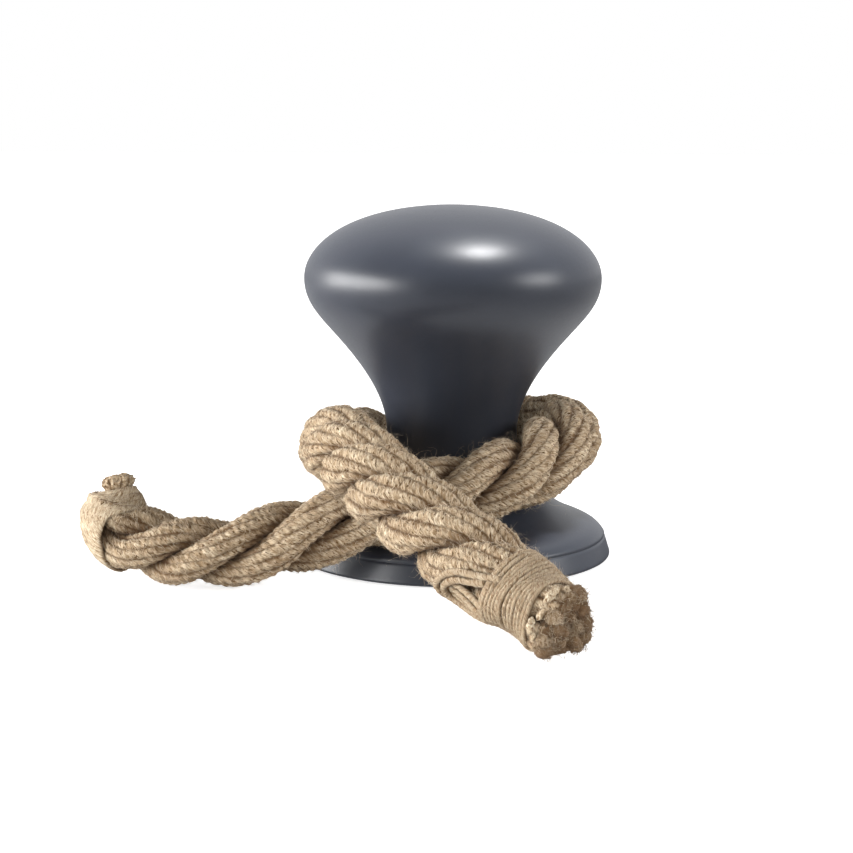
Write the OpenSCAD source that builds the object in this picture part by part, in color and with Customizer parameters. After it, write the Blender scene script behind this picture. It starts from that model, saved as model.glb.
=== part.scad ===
// Cast bollard post with a three-strand natural fibre rope laid once round its neck.
// Millimetres. +Z is up, the origin is the centre of the underside, and the rope crosses itself at -Y.

/* [Post] */
// Height from the floor to the top of the crown
post_h = 130; // [124:1:140]
// Diameter of the foot
base_d = 119; // [116:0.5:124]
// Diameter of the neck at its narrowest
neck_d = 48; // [44:1:48]
// Diameter of the head
head_d = 110; // [104:1:116]
// Thickness of the cast wall round the core
wall = 8; // [6:0.5:9]

/* [Underside] */
// Thickness of the floor pad
pad_t = 2; // [1.5:0.5:3]
// How far the pad stands below the foot
pad_proud = 0.5; // [0.3:0.1:1]
// Thickness of the closing plate
plate_t = 3; // [2.5:0.5:4]
// Number of plate screws
screw_count = 4; // [3:1:6]
// Circle on which the plate screws sit
screw_circle_d = 72; // [64:1:80]
// Length of a plate screw
screw_l = 10; // [8:1:12]
// Tapping diameter of the deck bolt's thread
thread_d = 8.5; // [6.8, 8.5]
// Height of the deck bolt's nut
nut_h = 8; // [6:1:10]

/* [Rope] */
// Length along the rope in which a strand makes one turn
lay_length = 70; // [66:1:76]
// Strand centre's distance from the rope's centre, as a share of the rope's radius
strand_offset = 0.555; // [0.55:0.005:0.56]
// Strand radius, as a share of the rope's radius
strand_share = 0.425; // [0.38:0.005:0.43]
// Where the left tail flexes, measured along the rope from the left end
left_flex = 65; // [60:1:70]
// Where the right tail flexes, measured back from the right end
right_flex = 66; // [60:1:70]
// Free gap between a tail and the loop
flex_gap = 1; // [0.6:0.1:2]

/* [Whipping] */
// Twine diameter
twine_d = 1.6; // [1.4:0.1:2.2]
// Turns of twine on the left end
left_turns = 9; // [6:1:10]
// Turns of twine on the right end
right_turns = 16; // [10:1:17]
// Where the left whipping starts, measured along the rope from the left end
left_start = 3.5; // [3:0.5:5]
// Where the right whipping starts, measured back from the right end
right_start = 27.5; // [27:0.5:40]

/* [Hidden] */
eps = 0.01;
fit_gap = 0.3;
base_r = base_d / 2;
neck_r = neck_d / 2;
head_r = head_d / 2;
plate_z = pad_t;
cavity_z = pad_t + plate_t;
recess_r = base_r - 6;
bolt_hole_r = 5.5;
screw_r = 1.95;
screw_head_r = 3.9;
screw_head_h = 2.1;
screw_clearance = 0.05;
nut_corner_r = 9.24;
paint = [0.23, 0.24, 0.29];
steel = [0.62, 0.63, 0.65];
jute = [0.70, 0.59, 0.43];
jute_light = [0.78, 0.69, 0.54];

// Rope centre line from the left end, once round the neck, to the right end.
// Each row is x, y, z, the rope's radius there, and how many degrees the lay is slackened there.
ROPE_PATH = [
    [-116.5, -49, 35, 5.2, -80],
    [-116, -49.7, 31, 9.8, -80],
    [-116.8, -50.6, 25.8, 11.9, -80],
    [-116, -51.8, 20.9, 12.4, -80],
    [-112.8, -53.3, 17.5, 12.5, -80],
    [-107.8, -55.2, 15.2, 12.4, -80],
    [-100.5, -57.4, 13.8, 12.2, -80],
    [-82, -61, 13, 11.8, -92],
    [-67, -61, 15.2, 12.6, -82],
    [-51, -58, 19.4, 13.4, -66],
    [-35, -53, 23.2, 13.2, -38],
    [-17, -49, 27.6, 13.2, -15],
    [1, -45.5, 32, 13.2, -6],
    [22.4, -35, 36.2, 13.5, 8],
    [37.5, -14.4, 41.6, 13.6, 22],
    [42.3, 6, 43.8, 13.5, 26],
    [34, 28, 42.1, 13.5, 12],
    [1, 41, 37.8, 13.5, -8],
    [-32.4, 30, 36.4, 13.5, -28],
    [-42.8, 6, 38.2, 13.5, -2],
    [-41.4, -20, 43.6, 13.5, 30],
    [-39.4, -42, 48, 13.5, 62],
    [-37, -63, 50.2, 13.5, 80],
    [-31, -81, 48.9, 13.5, 74],
    [-19, -101, 42.1, 13.8, 50],
    [-5, -117, 33.9, 14, 36],
    [8, -131, 27.4, 13.6, 29],
    [20, -145, 21.1, 12.2, 25],
    [26.8, -152.5, 17.9, 11, 23],
    [34, -160, 14.8, 12.2, 22]];
lay_start = 51.6;
span_steps = 10;
ring_step = 4.4;
ring_sides = 10;
sleeve_sides = 24;
rings_per_turn = 3;
twine_pitch = 0.97 * twine_d;

// ---- curve functions ----

function unit(v) = v / norm(v);

// Cubic curve through a and d, pulled towards b and c.
function bezier(a, b, c, d, steps = 10) =
    [for (i = [0:steps]) let (t = i / steps, u = 1 - t)
        u * u * u * a + 3 * u * u * t * b + 3 * u * t * t * c + t * t * t * d];

function spot(row) = [row[0], row[1], row[2]];

// Rows of the path with one more beyond each end, so that every span has two neighbours.
function padded(rows) = let (n = len(rows))
    concat([2 * rows[0] - rows[1]], rows, [2 * rows[n - 1] - rows[n - 2]]);

function mixed(p, q, tp, tq, t) = ((tq - t) * p + (t - tp) * q) / (tq - tp);

// Centripetal spline between rows p1 and p2. Every column is carried along with x, y and z.
function spline_point(p0, p1, p2, p3, f) = let (
    t1 = sqrt(norm(spot(p1) - spot(p0))),
    t2 = t1 + sqrt(norm(spot(p2) - spot(p1))),
    t3 = t2 + sqrt(norm(spot(p3) - spot(p2))),
    t = t1 + f * (t2 - t1),
    a1 = mixed(p0, p1, 0, t1, t),
    a2 = mixed(p1, p2, t1, t2, t),
    a3 = mixed(p2, p3, t2, t3, t))
    mixed(mixed(a1, a2, 0, t2, t), mixed(a2, a3, t1, t3, t), t1, t2, t);

padded_path = padded(ROPE_PATH);
spans = len(ROPE_PATH) - 1;
fine_path = concat(
    [for (i = [0:spans - 1], j = [0:span_steps - 1])
        spline_point(padded_path[i], padded_path[i + 1], padded_path[i + 2], padded_path[i + 3],
            j / span_steps)],
    [ROPE_PATH[spans]]);

// Distance along the rope at each point of the fine path.
function run_lengths(rows) =
    [for (i = 0, s = 0; i < len(rows);
        s = i + 1 < len(rows) ? s + norm(spot(rows[i + 1]) - spot(rows[i])) : s, i = i + 1) s];
run = run_lengths(fine_path);
rope_l = run[len(run) - 1];

function column(c) = [for (i = [0:len(run) - 1]) [run[i], fine_path[i][c]]];
columns = [for (c = [0:4]) column(c)];
function on_path(s, c) = lookup(s, columns[c]);
function centre(s) = [on_path(s, 0), on_path(s, 1), on_path(s, 2)];
function tangent(s) = unit(centre(min(s + 2, rope_l)) - centre(max(s - 2, 0)));

// Stations along the rope: the left tail, the loop, then the right tail, with a gap at each flex.
function stations(from, to) = let (n = ceil((to - from) / ring_step))
    [for (i = [0:n]) from + (to - from) * i / n];
left_s = stations(0, left_flex - flex_gap / 2);
loop_s = stations(left_flex + flex_gap / 2, rope_l - right_flex - flex_gap / 2);
right_s = stations(rope_l - right_flex + flex_gap / 2, rope_l);
all_s = concat(left_s, loop_s, right_s);
last = len(all_s) - 1;

// A direction square to the rope, carried along it without twisting.
function carried(n, t) = unit(n - t * (n * t));
sides = [for (i = 0, n = carried([0, 0, 1], tangent(0)); i <= last;
    n = carried(n, tangent(all_s[min(i + 1, last)])), i = i + 1) n];
side_columns = [for (c = [0:2]) [for (i = [0:last]) [all_s[i], sides[i][c]]]];
function side(s) = carried([for (c = [0:2]) lookup(s, side_columns[c])], tangent(s));

// Point at distance r from the rope's centre, at angle a round it.
function around(s, r, a) = let (t = tangent(s), n = side(s))
    centre(s) + r * (cos(a) * n + sin(a) * cross(t, n));

function lay_angle(s, strand) = lay_start + 120 * strand - 360 * s / lay_length + on_path(s, 4);

// One strand's outline where it passes through the rope's cross-section at s.
function strand_ring(s, strand) = let (
    g = on_path(s, 3),
    a = lay_angle(s, strand),
    t = tangent(s),
    n = side(s),
    b = cross(t, n),
    out = cos(a) * n + sin(a) * b,
    along = cos(a) * b - sin(a) * n,
    lean = norm([1, 2 * PI * strand_offset * g / lay_length]))
    [for (k = [0:ring_sides - 1]) let (w = 360 * k / ring_sides)
        centre(s) + (strand_offset + strand_share * cos(w)) * g * out
            + strand_share * g * lean * sin(w) * along];

// Triangles that join ring i to ring i + 1, each ring with m points.
function band(i, m) = [for (k = [0:m - 1], half = [0, 1]) let (
    p = i * m + k, q = i * m + (k + 1) % m)
    half == 0 ? [p, q, p + m] : [q, q + m, p + m]];

function joined(lists) = [for (l = lists, item = l) item];

// ---- shared modules ----

// Closed tube through a list of rings that all have m points.
module ring_tube(rings, m) {
    n = len(rings);
    polyhedron(
        points = joined(rings),
        faces = concat(
            joined([for (i = [0:n - 2]) band(i, m)]),
            [[for (k = [m - 1:-1:0]) k]],
            [[for (k = [0:m - 1]) (n - 1) * m + k]]),
        convexity = 8);
}

module strand(strand, at) {
    ring_tube([for (s = at) strand_ring(s, strand)], ring_sides);
}

// Turns of twine as one sleeve with a ridge for each turn.
module whipping(from, turns) {
    rings = turns * rings_per_turn;
    pitch = twine_pitch / rings_per_turn;
    outer = [for (i = [0:rings]) let (s = from + i * pitch, ridge = abs(sin(180 * i / rings_per_turn)))
        [for (k = [0:sleeve_sides - 1])
            around(s, on_path(s, 3) + twine_d * (0.55 + 0.4 * ridge), 360 * k / sleeve_sides)]];
    inner = [for (i = [rings:-rings_per_turn:0]) let (s = from + i * pitch)
        [for (k = [0:sleeve_sides - 1])
            around(s, on_path(s, 3) + fit_gap, 360 * k / sleeve_sides)]];
    loops = concat(outer, inner);
    n = len(loops);
    m = sleeve_sides;
    polyhedron(
        points = joined(loops),
        faces = concat(
            joined([for (i = [0:n - 2]) band(i, m)]),
            [for (k = [0:m - 1], half = [0, 1]) let (
                p = (n - 1) * m + k, q = (n - 1) * m + (k + 1) % m, p2 = k, q2 = (k + 1) % m)
                half == 0 ? [p, q, p2] : [q, q2, p2]]),
        convexity = 10);
}

module screw_places() {
    for (i = [0:screw_count - 1])
        rotate([0, 0, 45 + 360 * i / screw_count]) translate([screw_circle_d / 2, 0, 0]) children();
}

// ---- post ----

post_outline = concat(
    [[0, pad_proud], [base_r - 0.8, pad_proud], [base_r - 0.2, pad_proud + 0.2], [base_r, pad_proud + 0.8]],
    [[base_r - 1.9, 7.4], [base_r - 2.4, 7.9]],
    bezier([base_r - 2.1, 8.5], [base_r - 2.5, 11.2], [base_r - 5.2, 12.2], [base_r - 9.6, 13.7], 4),
    bezier([base_r - 9.6, 13.7], [base_r - 20.5, 17.5], [neck_r, 28], [neck_r, 46], 8),
    bezier([neck_r, 46], [neck_r, 60], [head_r - 19.4, 74.2], [head_r - 10.4, 84], 7),
    bezier([head_r - 10.4, 84], [head_r - 3.7, 91.3], [head_r, 95.5], [head_r, 103], 4),
    bezier([head_r, 103], [head_r, post_h - 12.5], [0.62 * head_r, post_h], [0, post_h], 11));

core_outline = concat(
    [[0, cavity_z - eps], [neck_r - wall + 6, cavity_z - eps]],
    bezier([neck_r - wall + 6, 8], [neck_r - wall + 6, 16], [neck_r - wall, 20], [neck_r - wall, 30], 4),
    bezier([neck_r - wall, 60], [neck_r - wall, 74], [head_r - 28, 80], [head_r - 16, 92], 5),
    bezier([head_r - 12, 97], [head_r - wall, 101], [head_r - wall, 102], [head_r - wall, 104], 2),
    bezier([head_r - wall, 106], [head_r - wall, post_h - 16], [0.5 * head_r, post_h - wall],
        [0, post_h - wall], 7));

module post_casting() {
    color(paint) difference() {
        rotate_extrude($fn = 180) polygon(post_outline);
        rotate_extrude($fn = 120) polygon(core_outline);
        translate([0, 0, -eps]) cylinder(h = cavity_z + eps, r = recess_r, $fn = 160);
        screw_places() cylinder(h = plate_z + screw_l + 1, r = screw_r + screw_clearance, $fn = 40);
    }
}

module base_plate() {
    color(steel) difference() {
        translate([0, 0, plate_z]) cylinder(h = plate_t, r = recess_r - fit_gap, $fn = 160);
        translate([0, 0, plate_z - 1]) cylinder(h = plate_t + 2, r = bolt_hole_r, $fn = 48);
        screw_places() {
            translate([0, 0, plate_z - 1]) cylinder(h = plate_t + 2, r = screw_r + 0.25, $fn = 40);
            translate([0, 0, plate_z - eps])
                cylinder(h = screw_head_h, r1 = screw_head_r + 0.1, r2 = screw_r + 0.15, $fn = 40);
        }
    }
}

module plate_screws() {
    color(steel) screw_places() difference() {
        union() {
            translate([0, 0, plate_z + 0.05])
                cylinder(h = screw_head_h - 0.15, r1 = screw_head_r - 0.1, r2 = screw_r, $fn = 40);
            translate([0, 0, plate_z + 1]) cylinder(h = screw_l - 1, r = screw_r, $fn = 40);
        }
        translate([0, 0, plate_z]) cylinder(h = 1.4, r = 1.5, $fn = 6);
    }
}

module deck_bolt_nut() {
    color(steel) translate([0, 0, cavity_z]) difference() {
        cylinder(h = nut_h, r = nut_corner_r, $fn = 6);
        translate([0, 0, -1]) cylinder(h = nut_h + 2, r = thread_d / 2, $fn = 48);
    }
}

module floor_pad() {
    color([0.12, 0.12, 0.12]) difference() {
        cylinder(h = pad_t, r = recess_r - 1, $fn = 160);
        translate([0, 0, -1]) cylinder(h = pad_t + 2, r = 10, $fn = 64);
    }
}

// ---- rope ----

module strand_a_loop() { color(jute) strand(0, loop_s); }
module strand_b_loop() { color(jute) strand(1, loop_s); }
module strand_c_loop() { color(jute) strand(2, loop_s); }
module strand_a_left_tail() { color(jute) strand(0, left_s); }
module strand_b_left_tail() { color(jute) strand(1, left_s); }
module strand_c_left_tail() { color(jute) strand(2, left_s); }
module strand_a_right_tail() { color(jute) strand(0, right_s); }
module strand_b_right_tail() { color(jute) strand(1, right_s); }
module strand_c_right_tail() { color(jute) strand(2, right_s); }

module left_whipping() { color(jute_light) whipping(left_start, left_turns); }
module right_whipping() { color(jute_light) whipping(rope_l - right_start, right_turns); }

post_casting();
base_plate();
plate_screws();
deck_bolt_nut();
floor_pad();
strand_a_loop();
strand_b_loop();
strand_c_loop();
strand_a_left_tail();
strand_b_left_tail();
strand_c_left_tail();
strand_a_right_tail();
strand_b_right_tail();
strand_c_right_tail();
left_whipping();
right_whipping();
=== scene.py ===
"""Looks for a cast bollard post with a laid jute rope round its neck.

Everything is in metres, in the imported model's frame. The rope's run, radius and lay are read from the CAD
strands, and the post's outline from the CAD casting, so the visual pieces follow the CAD model.
"""

import math

import bmesh
import bpy
import numpy as np
from mathutils import Matrix


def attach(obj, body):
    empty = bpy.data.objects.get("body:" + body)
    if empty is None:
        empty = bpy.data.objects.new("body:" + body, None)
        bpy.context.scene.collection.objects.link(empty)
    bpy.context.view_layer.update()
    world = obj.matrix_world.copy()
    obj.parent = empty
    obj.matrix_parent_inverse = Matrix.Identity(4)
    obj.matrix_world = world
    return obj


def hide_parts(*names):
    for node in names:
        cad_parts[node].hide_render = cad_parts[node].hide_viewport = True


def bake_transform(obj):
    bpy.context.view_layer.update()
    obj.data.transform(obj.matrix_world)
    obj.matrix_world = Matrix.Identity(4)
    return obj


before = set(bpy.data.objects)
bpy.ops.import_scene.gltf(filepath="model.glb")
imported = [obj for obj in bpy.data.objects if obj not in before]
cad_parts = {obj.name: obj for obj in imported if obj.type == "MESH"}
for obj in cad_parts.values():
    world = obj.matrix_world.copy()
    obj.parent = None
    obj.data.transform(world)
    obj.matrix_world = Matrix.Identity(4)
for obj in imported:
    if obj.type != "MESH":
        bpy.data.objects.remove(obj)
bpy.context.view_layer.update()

MM = 0.001
WELD = 0.002 * MM  # points closer than this are merged
STRANDS = ("a", "b", "c")
STRAND_OFFSET = 0.555  # strand centre's distance from the rope's centre, in rope radii, as in the CAD model
STRAND_RADIUS = 0.462  # strand radius in rope radii: the strands press on each other
YARNS = 9  # outer yarns in a strand
YARN_RING = 0.60  # yarn centre's distance from the strand's centre, in strand radii
YARN_RADIUS = 0.40
YARN_DRIFT = 11 * MM  # a yarn wanders sideways over about this length
YARN_SWELL = 6 * MM  # and thickens and thins over this one
YARN_RELIEF = 1.15  # how much of the yarns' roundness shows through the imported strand
YARN_TWIST = 1.45  # turns of the yarns per turn of the strands
GROOVE_DEPTH = 0.093  # how far the groove between two yarns lies under their tops, in strand radii
PLY_PITCH = 2.6 * MM  # from one slanting ply to the next, along a yarn
RING_STEP = 0.45 * MM  # from one ring of a strand's skin to the next
SIDES = 96  # points round a strand
NUB_DEPTH = 7.0 * MM  # where the strands' skins start at the left end, under the whipping's edge
STUB_ROOT = 9.0 * MM  # where the stub at the left end starts, inside the whipping
CUT_YARN = 0.44  # radius of a frayed yarn at the right end, in strand radii
ROUND_BAND = 0.965  # radius of a band that is wound to a circle, in rope radii
TWINE_PITCH = 4.4 * MM  # one turn of the twine's two plies
TWINE_SIDES = 14
TWINE_STEP = 0.5 * MM
TURNS = 14  # in each whipping
TUCK = 0.014  # share of a whipping's twine over which each end dives under the turns
CAP_DROP = 2.9  # how far the left whipping's first turns close in round the stub, in twine thicknesses
CAP_HEIGHT = 4.8 * MM
# Distance in millimetres from the start of the right whipping, and angle in degrees, along its first loop
START_LOOP = np.array(
    [(6, 190), (-2, 184), (-9, 183), (-14, 173), (-15.5, 152), (-12.5, 132), (-7, 114), (0, 103), (7, 88)]
)
# The same for the strands that run below the loop
START_STRANDS = np.array(
    [
        [(-12.5, 160), (-8, 168), (-3, 172), (4, 174)],
        [(-11, 149), (-6, 154), (-1, 156), (5, 157)],
        [(-9, 137), (-4, 139), (0, 140), (5, 140)],
    ]
)
LYING = 19000  # fibres that lie on the rope
STRAY = 5200  # hairs that stand off it
CIRCLE_POINTS = 40  # a circle of the casting's outline has at least this many mesh points
CREASE_TOP = 9.0  # millimetres: the foot's straight side and its crease lie below this height
OUTER_STEP = 7.0  # millimetres: the outline's points lie closer than this on the outside,
INNER_STEP = 35.0  # and closer than this inside
POST_SEGMENTS = 288  # points round the post
WAVER = 0.08  # millimetres: the cast skin isn't quite true, by this much
WAVER_LENGTH = 23.0  # over about this length


# ---------------------------------------------------------------- curves and noise


def unit(v):
    return v / np.linalg.norm(v, axis=-1, keepdims=True)


def vectors(x, y, z):
    """Three values side by side in a last axis, each broadcast to the others."""
    return np.stack(np.broadcast_arrays(x, y, z), axis=-1)


def turned(n, b, angle):
    """The direction at an angle from n towards b."""
    return np.cos(angle)[..., None] * n + np.sin(angle)[..., None] * b


def run_of(points):
    """Distance along a line of points, at each point."""
    return np.concatenate([[0], np.cumsum(np.linalg.norm(np.diff(points, axis=0), axis=1))])


def smooth_curve(x, y, xq):
    """Values at xq of a smooth curve through the points (x, y). y may have several columns."""
    slope = np.gradient(y, x, axis=0)
    i = np.clip(np.searchsorted(x, xq, side="right") - 1, 0, len(x) - 2)
    h = x[i + 1] - x[i]
    t = (xq - x[i]) / h
    if y.ndim > 1:
        h, t = h[:, None], t[:, None]
    t2, t3 = t * t, t * t * t
    return (
        (2 * t3 - 3 * t2 + 1) * y[i]
        + (t3 - 2 * t2 + t) * h * slope[i]
        + (3 * t2 - 2 * t3) * y[i + 1]
        + (t3 - t2) * h * slope[i + 1]
    )


LATTICE = np.random.RandomState(5).rand(4096)


def noise(p):
    """Smooth noise from 0 to 1 at points p of shape (..., 3), one cell per unit."""
    cell = np.floor(p).astype(np.int64)
    f = p - cell
    f = f * f * (3 - 2 * f)
    total = np.zeros(p.shape[:-1])
    for corner in range(8):
        step = np.array([corner & 1, corner >> 1 & 1, corner >> 2 & 1])
        c = cell + step
        key = (c[..., 0] * 73856093 ^ c[..., 1] * 19349663 ^ c[..., 2] * 83492791) & 4095
        weight = np.prod(np.where(step == 1, f, 1 - f), axis=-1)
        total += weight * LATTICE[key]
    return total


# ---------------------------------------------------------------- meshes


def grid_faces(rings, sides):
    """Quads that join each ring to the next one."""
    i, k = np.meshgrid(np.arange(rings - 1), np.arange(sides), indexing="ij")
    n = (k + 1) % sides
    quads = np.stack([i * sides + k, i * sides + n, (i + 1) * sides + n, (i + 1) * sides + k], axis=-1)
    return quads.reshape(-1, 4)


def new_mesh(name, verts, faces, **attributes):
    """A smooth-shaded object from arrays. faces is a list of arrays, each with one number of corners."""
    mesh = bpy.data.meshes.new(name)
    corners = np.concatenate([f.ravel() for f in faces]).astype(np.int32)
    sizes = np.concatenate([np.full(len(f), f.shape[1]) for f in faces])
    starts = np.concatenate([[0], np.cumsum(sizes)[:-1]]).astype(np.int32)
    mesh.vertices.add(len(verts))
    mesh.vertices.foreach_set("co", np.asarray(verts, np.float32).ravel())
    mesh.loops.add(len(corners))
    mesh.loops.foreach_set("vertex_index", corners)
    mesh.polygons.add(len(sizes))
    mesh.polygons.foreach_set("loop_start", starts)
    mesh.update(calc_edges=True)
    mesh.polygons.foreach_set("use_smooth", np.ones(len(sizes), bool))
    for key, values in attributes.items():
        layer = mesh.attributes.new(key, "FLOAT_VECTOR", "POINT")
        layer.data.foreach_set("vector", np.asarray(values, np.float32).ravel())
    mesh.validate()
    obj = bpy.data.objects.new(name, mesh)
    bpy.context.scene.collection.objects.link(obj)
    return obj


def tubes(name, rings, **attributes):
    """One object of closed tubes. rings is (tube, ring, side, xyz), so every tube has the same counts."""
    count, length, sides, _ = rings.shape
    base = np.arange(count)[:, None, None] * length * sides
    quads = (grid_faces(length, sides)[None] + base).reshape(-1, 4)
    first = (np.arange(sides)[::-1] + base[:, :, 0]).reshape(-1, sides)
    last = (np.arange(sides) + (length - 1) * sides + base[:, :, 0]).reshape(-1, sides)
    return new_mesh(name, rings.reshape(-1, 3), [quads, first, last], **attributes)


def path_frames(path):
    """Tangents and two square directions, carried along paths of shape (..., point, xyz)."""
    t = unit(np.gradient(path, axis=-2))
    n = np.zeros_like(path)
    seed = np.where(np.abs(t[..., 0, 2:3]) < 0.9, [0.0, 0.0, 1.0], [1.0, 0.0, 0.0])
    n[..., 0, :] = unit(seed - t[..., 0, :] * np.sum(seed * t[..., 0, :], axis=-1, keepdims=True))
    for i in range(1, path.shape[-2]):
        v = n[..., i - 1, :] - t[..., i, :] * np.sum(n[..., i - 1, :] * t[..., i, :], axis=-1, keepdims=True)
        n[..., i, :] = unit(v)
    return t, n, np.cross(t, n)


def round_rings(path, radius, sides):
    """Round sections along paths of shape (tube, point, xyz). radius is (tube, point)."""
    _, n, b = path_frames(path)
    w = 2 * math.pi * np.arange(sides) / sides
    return path[..., None, :] + radius[..., None, None] * turned(n[..., None, :], b[..., None, :], w)


# ---------------------------------------------------------------- the rope, read back from the CAD strands


def cad_rings(node):
    """Centres of the rings that a CAD strand is built of, in order from one end."""
    flat = 1e-3  # radians between faces that count as one flat face
    bm = bmesh.new()
    bm.from_mesh(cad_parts[node].data)
    bmesh.ops.remove_doubles(bm, verts=bm.verts, dist=WELD)
    bm.normal_update()
    seen, cap = set(), None
    for face in bm.faces:
        if face in seen:
            continue
        group, queue = {face}, [face]
        while queue:
            at = queue.pop()
            for edge in at.edges:
                for other in edge.link_faces:
                    if other not in group and at.normal.angle(other.normal, 1.0) < flat:
                        group.add(other)
                        queue.append(other)
        seen |= group
        # an end cap is the flat face with the most corners
        corners = {v for f in group for v in f.verts}
        if cap is None or len(corners) > len(cap):
            cap = corners
    rings, layer, done = [], set(cap), set(cap)
    while layer:
        rings.append(np.mean([v.co for v in layer], axis=0))
        nearby = {e.other_vert(v) for v in layer for e in v.link_edges}
        layer = nearby - done
        done |= layer
    bm.free()
    return np.array(rings)


def rope_stations():
    """Strand centres at every CAD ring, from the left end to the right end, as (strand, ring, xyz)."""
    runs = []
    for s in STRANDS:
        left, loop, right = (cad_rings(f"strand_{s}_{part}") for part in ("left_tail", "loop", "right_tail"))
        if np.linalg.norm(left[0][:2]) < np.linalg.norm(left[-1][:2]):
            left = left[::-1]
        if np.linalg.norm(loop[0] - left[-1]) > np.linalg.norm(loop[-1] - left[-1]):
            loop = loop[::-1]
        if np.linalg.norm(right[0] - loop[-1]) > np.linalg.norm(right[-1] - loop[-1]):
            right = right[::-1]
        runs.append(np.concatenate([left, loop, right]))
    return np.array(runs)


class Rope:
    """The rope's centre line c, directions t, n, b, radius g and lay angle a, at even steps s along it."""

    def __init__(self):
        stations = rope_stations()
        middle = stations.mean(axis=0)
        run = run_of(middle)
        count = int(run[-1] / RING_STEP)
        self.s = np.linspace(0, run[-1], count + 1)
        self.c = smooth_curve(run, middle, self.s)
        self.t, self.n, self.b = path_frames(self.c)
        at = np.searchsorted(self.s, run - 1e-9).clip(0, count)
        arm = stations[0] - middle
        lay = np.arctan2((arm * self.b[at]).sum(axis=1), (arm * self.n[at]).sum(axis=1))
        self.a = smooth_curve(run, np.unwrap(lay), self.s)
        self.g = smooth_curve(run, np.linalg.norm(arm, axis=1) / STRAND_OFFSET, self.s)
        self.yarn_turn = YARN_TWIST * (self.a - self.a[0])
        self.length = run[-1]

    def index(self, s):
        return int(round(s / self.length * (len(self.s) - 1)))

    def span(self, node):
        """The stretch of rope, as first and last distance, that a CAD node lies on."""
        near = []
        for p in np.array([v.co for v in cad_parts[node].data.vertices])[::7]:  # every seventh is enough
            arm = p - self.c
            elsewhere = np.linalg.norm(arm, axis=1) > 1.4 * self.g  # another stretch of the rope
            near.append(int(np.argmin(np.abs((arm * self.t).sum(axis=1)) + elsewhere)))
        return self.s[min(near)], self.s[max(near)]


rope = Rope()


def strand_surface(k, i0, i1):
    """Skin of strand k from station i0 to i1: points (ring, side, xyz) and two vectors for its look.

    The fibre vector is a place in the twisted yarn, in millimetres. The look vector holds the groove and how
    deep the point lies inside the rope, which the material darkens as painted shade, and the yarn's own shade
    of colour.
    """
    i = np.arange(i0, i1 + 1)
    s, g = rope.s[i], rope.g[i]
    a = rope.a[i] + 2 * math.pi * k / 3
    theta = 2 * math.pi * np.arange(SIDES) / SIDES
    yarn = np.arange(YARNS)
    # each yarn wanders and swells a little along its length
    wander = noise(vectors(s[:, None] / YARN_DRIFT, yarn * 7.7 + k * 31, 0.5))
    swell = noise(vectors(s[:, None] / YARN_SWELL, yarn * 5.3 + k * 17, 9.5))
    phase = -rope.yarn_turn[i][:, None] + 2 * math.pi * (yarn + 0.45 * (wander - 0.5)) / YARNS
    radius = YARN_RADIUS * (1 + 0.14 * (swell - 0.5))
    off = theta[None, :, None] - phase[:, None, :]
    inside = radius[:, None, :] ** 2 - (YARN_RING * np.sin(off)) ** 2
    reach = np.where(
        (inside > 0) & (np.cos(off) > 0), YARN_RING * np.cos(off) + np.sqrt(np.maximum(inside, 0)), 0
    )
    top = reach.argmax(axis=-1)
    reach = reach.max(axis=-1)
    off_top = np.take_along_axis(off, top[..., None], axis=-1)[..., 0]
    r_yarn = np.take_along_axis(radius[:, None, :].repeat(SIDES, 1), top[..., None], axis=-1)[..., 0]
    local = np.arctan2(reach * np.sin(off_top), reach * np.cos(off_top) - YARN_RING)
    groove = np.clip((1.0 - reach) / GROOVE_DEPTH, 0, 1) ** 1.7
    ident = top + YARNS * k
    # fibres twist round each yarn, and its two plies show as slanting bumps
    scale = STRAND_RADIUS * g[:, None]
    twist = local - s[:, None] / PLY_PITCH
    r_mm = r_yarn * scale / MM
    fibre = vectors(r_mm * np.cos(twist), r_mm * np.sin(twist), s[:, None] / MM + 71 * ident)
    slip = 2.5 * noise(vectors(s[:, None] / (5 * MM), 1.7 * ident, 0))
    ply = np.abs(np.sin(local - math.pi * s[:, None] / PLY_PITCH + slip)) ** 0.7
    fine = noise(fibre * [2.3, 2.3, 1.1]) - 0.5
    coarse = noise(fibre * [0.9, 0.9, 0.4] + 40) - 0.5
    lump = noise(vectors(fibre[..., 2] / 6, 0, 5.5)) - 0.5
    bump = (0.52 * (ply - 0.6) + 0.42 * fine + 0.55 * coarse + 0.35 * lump) * MM
    reach = (1 - YARN_RELIEF * (1 - reach)) * scale + bump * (1 - 0.5 * groove)
    lean = np.sqrt(1 + (np.gradient(a, s) * STRAND_OFFSET * g) ** 2)[:, None]
    out = turned(rope.n[i], rope.b[i], a)
    along = turned(rope.b[i], -rope.n[i], a)
    x = STRAND_OFFSET * g[:, None] + reach * np.cos(theta)
    y = reach * np.sin(theta) * lean
    points = rope.c[i][:, None] + x[..., None] * out[:, None] + y[..., None] * along[:, None]
    # depth darkens the strands' sides that face the rope's middle, as painted shade
    depth = np.hypot(x, y) / g[:, None]
    show = noise(vectors(fibre[..., 2] / 3.5, 0, 2.5))
    # painted shade in the groove between yarns, broken into dashes, and a little between the plies
    line = groove * np.clip(3.4 * show - 0.85, 0.25, 1) + 0.4 * (1 - ply) ** 2
    shade = (ident * 0.618 + 0.35 * coarse) % 1.0
    return points, fibre, vectors(line, np.clip((1.0 - depth) / 0.45, 0, 1), shade)


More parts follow.
